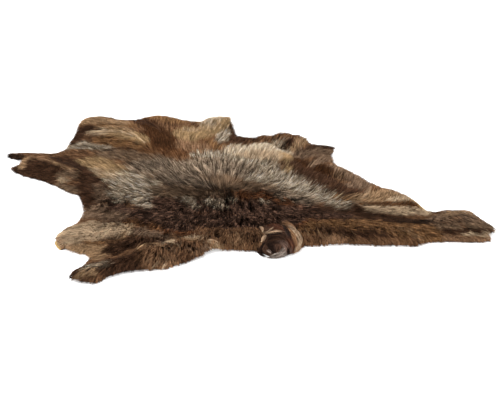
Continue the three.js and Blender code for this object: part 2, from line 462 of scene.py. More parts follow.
# %% [markdown]
# ## The colours of the coat
#
# A reindeer's guard hair is dark at the root and paler towards its tip, and how pale depends on the
# place: silver over the back, tan on the flanks, near black along the dark band. The tones say what
# a hair's root and tip look like and how much the locks differ from each other. The markings say
# which tone lies where, as soft bands that mix where they meet.
# Some markings are painted shade: the dark bands in the creases, the trough, the thigh's hollows and beside
# and under the left foreleg's ridge. The left foreleg's light ridge is partly a painted highlight.

# %% Tones and markings
Tone = namedtuple("Tone", "root tip contrast")
TONES = {
    "brown": Tone("#22160D", "#6D4F38", 0.50),
    "fawn": Tone("#322418", "#87674D", 0.45),
    "tan": Tone("#413223", "#9F8060", 0.40),
    "sand": Tone("#514232", "#BAA082", 0.36),
    "gold": Tone("#372716", "#A0835F", 0.42),
    "amber": Tone("#28180C", "#77573A", 0.60),
    "rustbrown": Tone("#1C1109", "#5E4029", 0.60),
    "rust": Tone("#1E1109", "#5A3924", 0.70),
    "russet": Tone("#190E08", "#452C1A", 0.45),
    "umber": Tone("#170E08", "#432E21", 0.55),
    "ink": Tone("#0E0905", "#2E2017", 0.8),
    "sable": Tone("#1A110B", "#3E2D24", 1.0),
    "mole": Tone("#201711", "#644D39", 0.52),
    "mauve": Tone("#2E231B", "#7B634F", 0.48),
    "drab": Tone("#281D14", "#735D49", 0.45),
    "ash": Tone("#1A130E", "#605244", 0.95),
    "silver": Tone("#221B15", "#80715F", 0.92),
    "pale": Tone("#463B30", "#C0AA8F", 0.55),
}
BASE_TONE, BASE_SHARE = "brown", 0.04
SHARPNESS = 1.6  # how quickly one tone gives way to the next
MIXED = 0.35  # how much of a hair's colour is the mean of the tones around it
FADE_OUT = 1.4  # how quickly a marking fades with distance, which is counted in half widths

Marking = namedtuple("Marking", "place start end half tone strength")
MARKINGS = [  # ends in pixels, half width in millimetres
    Marking("neck, far left corner", (90, 119), (118, 122), 28, "tan", 1.2),
    Marking("neck, left edge", (72, 143), (83, 130), 15, "umber", 3.0),
    Marking("neck, dark streaks", (80, 131), (97, 128), 9, "umber", 1.5),
    Marking("neck, first ripple, left", (92, 132), (112, 132), 15, "sand", 3.5),
    Marking("neck, first ripple, right", (112, 132), (142, 138), 18, "gold", 8.0),
    Marking("neck, second ripple", (95, 127), (130, 130), 8, "tan", 1.2),
    Marking("neck, brown patch", (102, 141), (142, 143), 24, "amber", 2.0),
    Marking("neck, grey flecks", (74, 146), (106, 146), 16, "silver", 3.4),
    Marking("neck, middle of the far rim", (100, 125), (130, 124), 16, "amber", 1.2),
    Marking("neck, dark notch", (132, 119), (147, 122), 13, "umber", 4.0),
    Marking("neck, dark line from the notch", (147, 122), (159, 132), 15, "russet", 6.0),
    Marking("neck, russet hollow", (155, 134), (167, 146), 32, "russet", 4.6),
    Marking("neck, near end of the hollow", (146, 149), (182, 150), 22, "rustbrown", 2.0),
    Marking("neck, far rim beside the notch", (152, 117), (178, 121), 18, "amber", 2.0),
    Marking("neck, brown streak", (180, 123), (200, 123), 9, "brown", 2.0),
    Marking("neck, light right side", (190, 132), (222, 120), 32, "gold", 3.2),
    Marking("neck, sandy right side", (188, 129), (212, 124), 15, "sand", 2.2),
    Marking("neck, rosy patch", (180, 143), (198, 147), 24, "fawn", 2.0),
    Marking("neck, pale right rim", (212, 119), (227, 117), 24, "pale", 6.0),
    Marking("neck, rust spot", (207, 137), (218, 145), 10, "amber", 0.9),
    Marking("neck, grey right side", (222, 138), (228, 126), 14, "silver", 2.2),
    Marking("neck, dark right edge", (231, 124), (234, 134), 8, "umber", 4.0),
    Marking("shoulders, left", (108, 152), (150, 155), 24, "drab", 1.8),
    Marking("gold behind the left shoulder", (90, 160), (112, 172), 32, "gold", 2.2),
    Marking("sand behind the left shoulder", (96, 168), (122, 176), 26, "sand", 2.0),
    Marking("brown above the left foreleg", (64, 154), (88, 155), 14, "brown", 2.0),
    Marking("saddle, light left end", (116, 174), (145, 188), 38, "silver", 2.2),
    Marking("saddle, dim left side", (150, 162), (195, 176), 46, "ash", 2.2),
    Marking("saddle, tan border of the band", (150, 189), (212, 190), 26, "drab", 2.0),
    Marking("saddle, silver tuft", (196, 151), (226, 153), 18, "silver", 1.4),
    Marking("saddle, dark hollow", (200, 164), (238, 167), 40, "ash", 8.0),
    Marking("saddle, dim middle", (232, 160), (262, 170), 30, "ash", 3.0),
    Marking("saddle, brown spot", (204, 173), (222, 176), 20, "drab", 1.4),
    Marking("saddle, silver middle", (235, 157), (262, 165), 26, "silver", 1.6),
    Marking("ridge, golden crest", (236, 148), (282, 151), 22, "pale", 4.0),
    Marking("ridge, tan near side", (240, 152), (284, 156), 16, "sand", 1.6),
    Marking("ridge, golden end", (284, 153), (291, 166), 14, "gold", 3.4),
    Marking("saddle, silver right side", (262, 172), (312, 184), 42, "silver", 3.0),
    Marking("saddle, silver right end", (312, 188), (345, 204), 24, "silver", 2.6),
    Marking("saddle, near border", (230, 182), (270, 185), 22, "drab", 1.8),
    Marking("saddle, dim right border", (275, 191), (306, 199), 20, "ash", 2.4),
    Marking("saddle, drab right end", (322, 208), (362, 209), 22, "umber", 2.0),
    Marking("whorl, dark line", (214, 183), (229, 193), 10, "ink", 1.8),
    Marking("dark band, left", (160, 206), (215, 211), 46, "sable", 2.0),
    Marking("dark band, middle", (215, 211), (290, 214), 46, "sable", 2.4),
    Marking("dark band, right", (295, 209), (345, 216), 28, "sable", 2.0),
    Marking("dark band, mottled left end", (140, 217), (176, 222), 34, "sable", 2.0),
    Marking("rust flecks, far", (246, 192), (273, 193), 18, "rust", 2.2),
    Marking("rust flecks, right", (280, 200), (299, 206), 11, "rust", 2.6),
    Marking("rust fleck, small", (195, 212), (205, 213), 7, "rust", 3.0),
    Marking("rust line, right", (300, 222), (338, 219), 9, "rust", 3.0),
    Marking("rust line, left", (150, 231), (192, 231), 8, "rust", 2.4),
    Marking("grey flecks, left", (184, 197), (195, 206), 12, "silver", 6.0),
    Marking("grey flecks, middle", (209, 201), (222, 206), 13, "silver", 8.0),
    Marking("grey flecks, far", (228, 196), (234, 200), 7, "silver", 3.4),
    Marking("grey flecks, right", (262, 199), (268, 201), 7, "silver", 3.0),
    Marking("pale streak, far part", (124, 176), (137, 194), 20, "silver", 3.4),
    Marking("pale streak, near part", (138, 196), (147, 205), 15, "silver", 3.4),
    Marking("pale streak, core", (116, 171), (147, 204), 9, "pale", 2.2),
    # painted shadow: the near end of the dark curve beside the left foreleg's ridge
    Marking("dark curve, near end", (88, 180), (104, 185), 14, "umber", 2.4),
    Marking("left flank", (82, 190), (87, 208), 28, "umber", 1.6),
    Marking("left flank, rosy patch", (98, 184), (101, 197), 14, "mauve", 4.0),
    Marking("rosette", (110, 197), (126, 214), 18, "sable", 1.0),
    Marking("rosette, silver flecks", (109, 192), (118, 198), 13, "silver", 12.0),
    Marking("left flank, near fold", (88, 212), (118, 215), 24, "mauve", 4.0),
    # painted shade in the crease behind the flap
    Marking("crease behind the flap", (104, 223), (127, 219), 8, "umber", 3.4),
    Marking("flap, tip", (64, 239), (92, 229), 28, "sand", 6.0),
    Marking("flap, root", (92, 231), (124, 228), 20, "sand", 2.6),
    Marking("flap, golden rim", (58, 240), (63, 249), 11, "fawn", 6.0),
    Marking("flap, brown line", (74, 243), (100, 243), 7, "amber", 0.6),
    Marking("flap, near side", (66, 248), (100, 249), 11, "tan", 2.4),
    Marking("flap, silver root", (122, 233), (131, 223), 10, "tan", 1.4),
    Marking("rusty side of the flap", (132, 220), (152, 226), 28, "rustbrown", 2.0),
    Marking("bay between flap and hind leg", (91, 252), (101, 256), 12, "tan", 2.0),
    # painted shade in the fold above the hind leg
    Marking("dark fold above the hind leg", (106, 251), (130, 243), 16, "umber", 1.6),
    Marking("thigh, rosy curls", (140, 230), (158, 235), 18, "mauve", 5.0),
    Marking("thigh, shadow of the curls", (134, 242), (160, 241), 9, "umber", 4.0),
    Marking("thigh, fawn arc", (145, 247), (166, 246), 9, "fawn", 2.4),
    Marking("thigh, pale curl", (167, 242), (179, 247), 8, "sand", 1.2),
    Marking("thigh, far pale curl", (184, 236), (203, 240), 8, "sand", 0.8),
    Marking("thigh, middle", (180, 247), (206, 246), 24, "brown", 1.8),
    # painted shade in the hollows between the thigh's curls
    Marking("thigh, dark hollows", (168, 251), (196, 248), 8, "umber", 1.8),
    Marking("thigh, brown", (148, 257), (196, 253), 26, "brown", 2.0),
    Marking("thigh, rosy middle", (160, 250), (176, 254), 7, "mauve", 2.2),
    Marking("thigh, dark spots, left", (150, 257), (158, 252), 6, "umber", 2.0),
    Marking("thigh, dark spots, right", (178, 257), (188, 251), 6, "umber", 2.2),
    Marking("thigh, whiskers", (207, 244), (221, 250), 6, "tan", 3.0),
    Marking("thigh, rosy near edge", (188, 253), (208, 251), 10, "mauve", 2.0),
    Marking("thigh, light near edge", (148, 263), (174, 262), 13, "fawn", 1.6),
    Marking("thigh, near edge by the leg", (112, 270), (134, 265), 18, "umber", 2.0),
    Marking("thigh, near edge by the whiskers", (180, 261), (200, 257), 11, "umber", 2.0),
    Marking("left hind leg", (70, 277), (112, 262), 18, "umber", 1.4),
    Marking("left hind leg, silver streak", (82, 270), (108, 264), 7, "silver", 4.0),
    Marking("left hind leg, tan streak", (77, 276), (92, 273), 6, "tan", 3.4),
    Marking("left foreleg, tip", (9, 157), (20, 158), 15, "ink", 3.4),
    Marking("left foreleg, fork", (21, 168), (28, 160), 8, "tan", 3.4),
    Marking("left foreleg, far edge", (24, 155), (60, 156), 9, "brown", 2.4),
    # the light ridge is fawn and tan hair with a painted highlight on its top
    Marking("left foreleg, light ridge, tip", (30, 159), (50, 161), 8, "fawn", 1.8),
    Marking("left foreleg, light ridge, middle", (50, 161), (63, 167), 8, "tan", 1.6),
    Marking("left foreleg, light ridge, root", (63, 168), (80, 171), 6, "tan", 1.6),
    # painted shade under the left foreleg's ridge
    Marking("left foreleg, under the ridge", (30, 164), (60, 169), 14, "umber", 7.0),
    Marking("left foreleg, grey middle", (32, 169), (52, 173), 12, "umber", 3.0),
    Marking("left foreleg, near edge", (14, 170), (52, 181), 9, "umber", 6.0),
    # painted shadow: the dark curve that the left foreleg's ridge would cast
    Marking("dark curve, far part", (58, 158), (76, 166), 16, "umber", 10.0),
    Marking("dark curve, near part", (76, 166), (91, 180), 18, "umber", 10.0),
    Marking("left foreleg, root", (60, 174), (84, 176), 12, "drab", 1.8),
    Marking("left foreleg, pale spot", (60, 178), (64, 180), 6, "sand", 1.4),
    Marking("left foreleg, root, near edge", (58, 187), (76, 192), 12, "drab", 2.4),
    Marking("right shoulder ruffle", (238, 138), (290, 134), 26, "umber", 6.0),
    Marking("right shoulder ruffle, far rim", (245, 134), (290, 131), 12, "sable", 5.0),
    Marking("right shoulder ruffle, peak", (292, 134), (304, 135), 6, "umber", 3.4),
    # painted shadow in the crease of the right shoulder ruffle
    Marking("right shoulder ruffle, crease", (283, 147), (292, 140), 6, "umber", 3.4),
    Marking("right shoulder ruffle, light fold", (295, 146), (305, 138), 9, "tan", 8.0),
    Marking("right foreleg, far edge", (308, 147), (334, 148), 9, "umber", 3.0),
    Marking("right foreleg", (300, 153), (331, 156), 20, "mauve", 2.4),
    Marking("right flank, light fold", (313, 163), (329, 162), 10, "mauve", 3.0),
    Marking("right flank, rust, far", (297, 158), (305, 165), 13, "russet", 4.0),
    Marking("right flank, rust, near", (315, 168), (330, 168), 13, "russet", 4.0),
    Marking("right flank, rim", (333, 166), (364, 182), 15, "mauve", 3.0),
    Marking("right flank, rim, rosy", (340, 172), (360, 180), 9, "mole", 2.0),
    # painted shade in the trough between the saddle's ridge and the right flank
    Marking("trough, far part", (295, 163), (320, 178), 26, "umber", 9.0),
    Marking("trough, near part", (320, 180), (352, 191), 26, "umber", 9.0),
    Marking("trough, rusty border", (334, 193), (350, 198), 8, "amber", 3.0),
    Marking("right flank, near end", (350, 184), (366, 185), 10, "mauve", 2.6),
    Marking("right flap, upper side", (356, 196), (392, 192), 20, "tan", 2.0),
    Marking("right flap, pale end", (392, 198), (412, 199), 13, "sand", 3.4),
    # painted shade along the right flap's crease
    Marking("right flap, crease", (360, 203), (418, 206), 6, "rustbrown", 4.0),
    Marking("right flap, lower side", (368, 208), (425, 212), 12, "sand", 2.6),
    # painted shade in the crease between the right flap and the right hind leg
    Marking("crease beside the flap, far part", (358, 212), (400, 218), 18, "umber", 14.0),
    Marking("crease beside the flap, near part", (400, 220), (434, 220), 11, "ink", 12.0),
    Marking("right hind leg", (438, 219), (470, 217), 20, "mauve", 4.0),
    Marking("right hind leg, light streaks", (446, 215), (470, 214), 12, "tan", 5.0),
    Marking("right hind leg, brown streaks", (436, 222), (462, 221), 9, "brown", 1.8),
    Marking("right hind leg, grey root", (441, 225), (457, 228), 11, "drab", 2.0),
    Marking("right hind leg, tip", (475, 226), (497, 231), 15, "drab", 3.0),
    Marking("right hind leg, line", (444, 231), (492, 235), 6, "umber", 4.0),
    Marking("right hind leg, lower strip", (446, 238), (494, 240), 9, "fawn", 3.4),
    Marking("right hind leg, pale line", (466, 235), (494, 236), 4, "sand", 3.0),
    Marking("rump, rusty top", (312, 224), (390, 225), 26, "amber", 6.0),
    Marking("rump, dark stripe", (320, 230), (384, 236), 13, "umber", 9.0),
    Marking("rump, right", (386, 231), (430, 236), 28, "amber", 3.0),
    Marking("rump, right, dark streaks", (372, 234), (408, 233), 9, "sable", 2.2),
    Marking("rump, right, tan streak", (398, 230), (420, 240), 9, "tan", 1.4),
    Marking("rump, light near edge", (325, 239), (345, 242), 13, "fawn", 2.4),
    Marking("rump, near edge", (346, 243), (418, 243), 13, "brown", 2.4),
    Marking("rump, beside the tail", (302, 239), (322, 239), 18, "brown", 2.2),
    Marking("rump, dark root", (304, 231), (318, 235), 7, "umber", 2.2),
    Marking("rump, red root", (294, 226), (320, 228), 12, "russet", 2.6),
    Marking("rump, left", (226, 241), (244, 240), 28, "brown", 3.0),
    Marking("rump, tan tuft, left", (229, 239), (236, 246), 7, "tan", 1.4),
    Marking("rump, dark spots, left", (216, 236), (224, 240), 6, "sable", 2.0),
    Marking("rump, tan spot", (236, 236), (242, 244), 9, "tan", 1.6),
    Marking("rump, top edge, left", (214, 233), (257, 233), 13, "brown", 3.0),
    Marking("rump, dark beside the tail", (247, 237), (258, 241), 9, "umber", 1.6),
]


def coat_tones(points, picks):
    """The root colour, tip colour and contrast at each point. A pick from 0 to 1 draws a hair's tone."""
    names = list(TONES)
    share = np.zeros((len(points), len(names)))
    share[:, names.index(BASE_TONE)] = BASE_SHARE
    for marking in MARKINGS:
        apart = nearness(points, seen_at(marking.start), seen_at(marking.end), marking.half)
        share[:, names.index(marking.tone)] += marking.strength * np.exp(-FADE_OUT * apart**2)
    share **= SHARPNESS
    share /= share.sum(1, keepdims=True)
    picks = 0.999 - np.abs(0.999 - np.abs(picks))  # folded back at both ends
    drawn = (picks[:, None] > share.cumsum(1)).sum(1)
    share = MIXED * share + (1 - MIXED) * np.eye(len(names))[drawn]
    roots = np.array([linear(TONES[name].root) for name in names])
    tips = np.array([linear(TONES[name].tip) for name in names])
    contrast = np.array([TONES[name].contrast for name in names])
    return share @ roots, share @ tips, share @ contrast


# %% [markdown]
# ## Locks
#
# Hair seldom lies alone. A few dozen neighbours cling together in a lock that narrows to a point, and
# the locks are what the eye sees from a few metres. So each lock gets its place, heading, lift,
# length and colour first, and the hairs are then dealt out over the locks.

# %% Set out the locks
LOCK_SPACING = 2.8 * MM
LONG_HAIR_SHARE = 0.55  # long hair stands in fewer, wider locks
RIM_REACH = 26 * MM  # along the edge the hair turns outwards
RIM_DROOP = 28  # degrees that the tips hang at the edge
HANGING_REACH = 90 * MM  # along the near side the hair is longer
HANGING_DROOP = 40  # degrees more that it hangs there
CURL = 0.010  # how far a lock bends aside for each degree of stir, as a share of its reach
TAIL_MIDDLE = np.array([124, -366, 25]) * MM
TAIL_SPAN = np.array([50, 42]) * MM  # the coat leaves this much room for the tail


def wavy(points, size, seed):
    """Smooth noise from -1 to 1 whose swells are about this size."""
    return np.array([noise.noise(Vector((x / size, y / size, seed))) for x, y in points])


def turned(way, angle):
    """Headings turned by angles, seen from above."""
    c, s = np.cos(angle), np.sin(angle)
    return np.stack([way[:, 0] * c - way[:, 1] * s, way[:, 0] * s + way[:, 1] * c], 1)


def streaky(points, way, width, length, seed):
    """Noise drawn out along the hair, with a spread of about one."""
    steps = np.linspace(-0.5, 0.5, 7)
    swells = sum(wavy(points + step * length * way, width, seed) for step in steps)
    return 3.6 * swells / math.sqrt(len(steps))


def set_out_locks():
    """The locks as a dictionary of arrays, a row for each lock."""
    low, high = CAD_BOX
    columns, rows = (np.arange(low[i], high[i], LOCK_SPACING) for i in (0, 1))
    places = np.stack(np.meshgrid(columns, rows), -1).reshape(-1, 2)
    places += rng.uniform(-0.5, 0.5, places.shape) * LOCK_SPACING
    skin_top, normals = heights(skin_tree, places)
    floor_side, _ = heights(solid_tree, places, from_below=True)
    hair_top, _ = heights(solid_tree, places)
    pile = np.clip(hair_top - floor_side - SKIN_THICKNESS, 5 * MM, None)
    long_hair = np.nan_to_num(np.clip((pile / MM - 12) / 12, 0, 1))
    kept = ~np.isnan(skin_top + hair_top)
    kept &= np.linalg.norm((places - TAIL_MIDDLE[:2]) / TAIL_SPAN, axis=1) > 1
    kept &= rng.random(len(places)) < 1 - (1 - LONG_HAIR_SHARE) * long_hair
    apart, nearest = nearest_edge(places)
    kept &= apart > bareness(places)[1]
    places, skin_top, normals, pile = places[kept], skin_top[kept], normals[kept], pile[kept]
    apart, nearest = apart[kept], nearest[kept]
    outward = (nearest - places) / np.maximum(apart, 1e-6)[:, None]
    way, lift, stir = combed(places)
    rim = np.clip(1 - apart / RIM_REACH, 0, 1)
    hanging = np.clip(-way[:, 1], 0, 1) * np.clip(1 - apart / HANGING_REACH, 0, 1)
    way += 1.1 * rim[:, None] * outward
    stray = 1.3 * wavy(places, 45 * MM, 1) + 0.6 * wavy(places, 17 * MM, 4)
    turn = stir * (stray + rng.normal(0, 0.3, len(places))) + rng.normal(0, 5, len(places))
    way = turned(unit(way), np.radians(turn))
    lift += 0.6 * stir * wavy(places, 30 * MM, 5) + rng.normal(0, 3, len(places))
    lift = np.clip(lift, 4, 75) * (1 - rim) - (RIM_DROOP + HANGING_DROOP * hanging) * rim
    streak = (60 * MM - 1.1 * (pile - 9 * MM)).clip(22 * MM)[:, None]  # shorter where the pile is deep
    reach = (9 * MM + 0.36 * pile) * (1 + 0.25 * wavy(places, 22 * MM, 9))
    reach *= (1 + 0.5 * hanging - 0.9 * hanging * rim) * (1 - 0.6 * bareness(places)[0])
    curl = rng.normal(0, 0.6, len(places)) + streaky(places, way, 12 * MM, streak, 12)
    swell = 1 + 0.16 * wavy(places, 24 * MM, 6) + 0.010 * stir * wavy(places, 38 * MM, 8)
    deep = np.clip(pile / (20 * MM) - 0.5, 0, 1)
    tone = rng.normal(0, 0.9, len(places)) + 0.6 * streaky(places, way, 4 * MM, streak, 7)
    tone += 0.8 * deep * streaky(places, way, 8 * MM, 1.3 * streak, 11)
    return {
        "root": np.column_stack([places, skin_top]),
        "normal": unit(normals + np.array(UP)),
        "way": way,
        "lift": np.radians(lift),
        "height": pile * swell,
        "reach": reach,
        "curl": CURL * stir * curl,
        "tone": tone,
        "pick": rng.random(len(places)),
        "warp": 7 * MM * np.stack([wavy(places, 20 * MM, 2), wavy(places, 20 * MM, 3)], 1)
        + rng.normal(0, 2.5 * MM, (len(places), 2)),
    }


locks = set_out_locks()
print(len(locks["root"]), "locks")

# %% [markdown]
# ## Hairs
#
# A hair leaves the skin steeply and bends over, so that its outer half lies on the coat. Three rings
# of points give it that bend with only three triangles, so a piece of sixty thousand hairs stays
# light. Each hair has a square of its own on the map "OFBake", with its root at the bottom and its
# tip at the top, so that its colours can be kept as a picture too.


# %% One joined mesh of hairs
FLOOR_GAP = 0.4 * MM  # no hair comes nearer to the floor
HEADROOM = 8 * MM  # how far a hair may stand above the solid's highest point
BRIGHTEST = 0.95  # no hair gives back more light than this


def join_hairs(name, paths, side, widths, colours, finish):
    """Ribbons along paths (hair, ring, xyz), which narrow to a point, as one mesh object."""
    count, rings = paths.shape[:2]
    reach = side * (np.array(widths) * MM / 2)[:, None]
    edges = np.stack([paths[:, :-1] - reach, paths[:, :-1] + reach], 2).reshape(count, -1, 3)
    points = np.concatenate([edges, paths[:, -1:]], 1)
    points[..., 2] = np.clip(points[..., 2], FLOOR_GAP, CAD_BOX[1].z + HEADROOM)
    shades = np.concatenate([np.repeat(colours[:, :-1], 2, 1), colours[:, -1:]], 1)
    tip = 2 * rings - 2
    corners = [(tip - 2, tip - 1, tip)]
    for low in range(0, tip - 2, 2):
        corners += [(low, low + 1, low + 3), (low, low + 3, low + 2)]
    faces = (np.arange(count)[:, None, None] * (tip + 1) + np.array(corners)).reshape(-1, 3)

    mesh = bpy.data.meshes.new(name)
    mesh.from_pydata(points.reshape(-1, 3).tolist(), [], faces.tolist())
    coat = mesh.color_attributes.new("coat", "FLOAT_COLOR", "POINT")
    rgba = np.concatenate([shades, np.ones_like(shades[..., :1])], -1)
    coat.data.foreach_set("color", rgba.astype(np.float32).ravel())
    squares = math.ceil(math.sqrt(count))
    index = np.arange(count)[:, None]
    across = np.array([0.15, 0.85] * (rings - 1) + [0.5])
    along = np.repeat(np.linspace(0.12, 0.88, rings), 2)[:-1]
    uv = np.stack([index % squares + across, index // squares + along], -1) / squares
    layer = mesh.uv_layers.new(name="OFBake")
    layer.uv.foreach_set("vector", uv.reshape(-1, 2)[faces.ravel()].astype(np.float32).ravel())
    mesh.materials.append(finish)
    piece = bpy.data.objects.new(name, mesh)
    bpy.context.scene.collection.objects.link(piece)
    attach(piece, "root")
    print(name, "has", count, "hairs and", len(faces), "triangles")
    return piece


# %% Grow hairs on the locks
LOCK_RADIUS = 1.4 * MM
LEAN = 0.3  # how far the steep half leans, as a share of the outer half's length
TAPER = 0.2  # the share of its width that a hair loses at each ring
Layer = namedtuple("Layer", "name rings hairs height reach width shade tipward")


def grow(layer, finish):
    """A layer of hairs, dealt out over the locks."""
    count = layer.hairs
    chosen = rng.integers(0, len(locks["root"]), count)
    lock = {key: value[chosen] for key, value in locks.items()}
    normal = lock["normal"]
    way = np.column_stack([lock["way"], np.zeros(count)])
    way = unit(way - (way * normal).sum(1, keepdims=True) * normal)
    across = np.cross(normal, way)
    turn = rng.normal(0, math.radians(5), (count, 1))
    way = way * np.cos(turn) + across * np.sin(turn)
    lift = lock["lift"] + rng.normal(0, math.radians(4), count)
    height = lock["height"] * layer.height * rng.uniform(0.85, 1.08, count)
    reach = lock["reach"] * layer.reach * rng.uniform(0.8, 1.15, count)
    bend = np.clip(height - reach * np.sin(np.clip(lift, 0, None)), 0.3 * height, None)
    forward = np.stack([np.zeros(count), LEAN * reach, reach * (LEAN + np.cos(lift))], 1)
    upward = np.stack([np.zeros(count), bend, bend + reach * np.sin(lift)], 1)
    if layer.rings == 2:
        forward, upward = forward[:, ::2], upward[:, ::2]

    spot = rng.normal(0, 0.7, (count, 2)) * LOCK_RADIUS
    paths = np.empty((count, layer.rings, 3))
    for ring, t in enumerate(np.linspace(0, 1, layer.rings)):
        gather = spot * (1 - 0.8 * t) + rng.normal(0, 0.25, (count, 2)) * MM * t
        paths[:, ring] = lock["root"] + gather[:, :1] * across
        paths[:, ring] += (gather[:, 1:] + forward[:, ring, None]) * way + upward[:, ring, None] * normal
        paths[:, ring] += (lock["curl"] * reach * t * (2 - 1.6 * t))[:, None] * across
    roll = rng.normal(0, math.radians(30), (count, 1))
    side = across * np.cos(roll) + normal * np.sin(roll)

    seen = 0.3 * paths[:, 0, :2] + 0.7 * paths[:, -1, :2]  # a hair shows its outer half
    picks = lock["pick"] + rng.normal(0, 0.08, count)
    root_tone, tip_tone, contrast = coat_tones(seen + lock["warp"], picks)
    # painted shade: hairs out at the sides of a lock are made darker, as shade where they lie deeper
    outside = np.abs(spot[:, 0]) / LOCK_RADIUS  # the sides of a lock lie deeper
    vary = (lock["tone"] + rng.normal(0, 0.65, count) - 0.5 * (outside - 0.55)).clip(-2.4, 2.2)
    lightness = np.exp(contrast * vary)[:, None, None] * layer.shade
    fade = (np.linspace(0, 1, layer.rings) ** 1.1 * layer.tipward)[:, None]
    colours = (root_tone[:, None] * (1 - fade) + tip_tone[:, None] * fade) * lightness
    colours = np.clip(colours, 0, BRIGHTEST)
    return join_hairs(layer.name, paths, side[:, None], widths_of(layer), colours, finish)


def widths_of(layer):
    """The width at each ring but the tip."""
    return [layer.width * (1 - TAPER * ring) for ring in range(layer.rings - 1)]


# %% [markdown]
# ## Finishes
#
# Dry reindeer hair is hollow and dull: it shows its colour and no highlights. Both finishes take their
# colour from the coat that each hair carries, and a fine noise keeps neighbours from matching.


# %% Hair finish
KERATIN_IOR = 1.55


def hair_finish(name, roughness, gloss):
    """Hair that takes its colour from the coat, with flecks a few millimetres wide."""
    finish, tree, shader = new_finish(name)
    coat = add_node(tree, "ShaderNodeAttribute", attribute_name="coat")
    place = add_node(tree, "ShaderNodeTexCoord")
    flecks = add_node(
        tree,
        "ShaderNodeTexNoise",
        {"Scale": 1 / (6 * MM), "Detail": 2.0},
        {"Vector": (place, "Object")},
    )
    fleck_range = add_node(
        tree,
        "ShaderNodeMapRange",
        {"From Min": 0.3, "From Max": 0.7, "To Min": 0.82, "To Max": 1.18},
        {"Value": (flecks, "Fac")},
    )
    tinted = add_node(
        tree,
        "ShaderNodeVectorMath",
        links={0: (coat, "Color"), 1: (fleck_range, "Result")},
        operation="MULTIPLY",
    )
    tree.links.new(tinted.outputs["Vector"], shader.inputs["Base Color"])
    shader.inputs["Roughness"].default_value = roughness
    shader.inputs["Specular IOR Level"].default_value = gloss
    shader.inputs["IOR"].default_value = KERATIN_IOR
    return finish


guard_hair = hair_finish("reindeer guard hair", 0.5, 0.01)
wool = hair_finish("reindeer wool", 0.85, 0.0)

# %% Grow the coat
SHARE = 1
HAIRS = round(62000 * SHARE)  # in each layer
coat_pieces = [
    grow(Layer("wool", 2, HAIRS, 0.45, 0.8, 3.6, 0.75, 0.5), wool),
    grow(Layer("inner_hair", 3, HAIRS, 0.66, 0.95, 1.6, 0.80, 0.85), guard_hair),
    grow(Layer("middle_hair", 3, HAIRS, 0.80, 1.0, 1.4, 0.90, 1.0), guard_hair),
    grow(Layer("outer_hair", 3, HAIRS, 0.92, 1.0, 1.2, 1.0, 1.0), guard_hair),
    grow(Layer("long_hair", 3, HAIRS, 1.0, 1.1, 1.0, 1.1, 1.0), guard_hair),
]
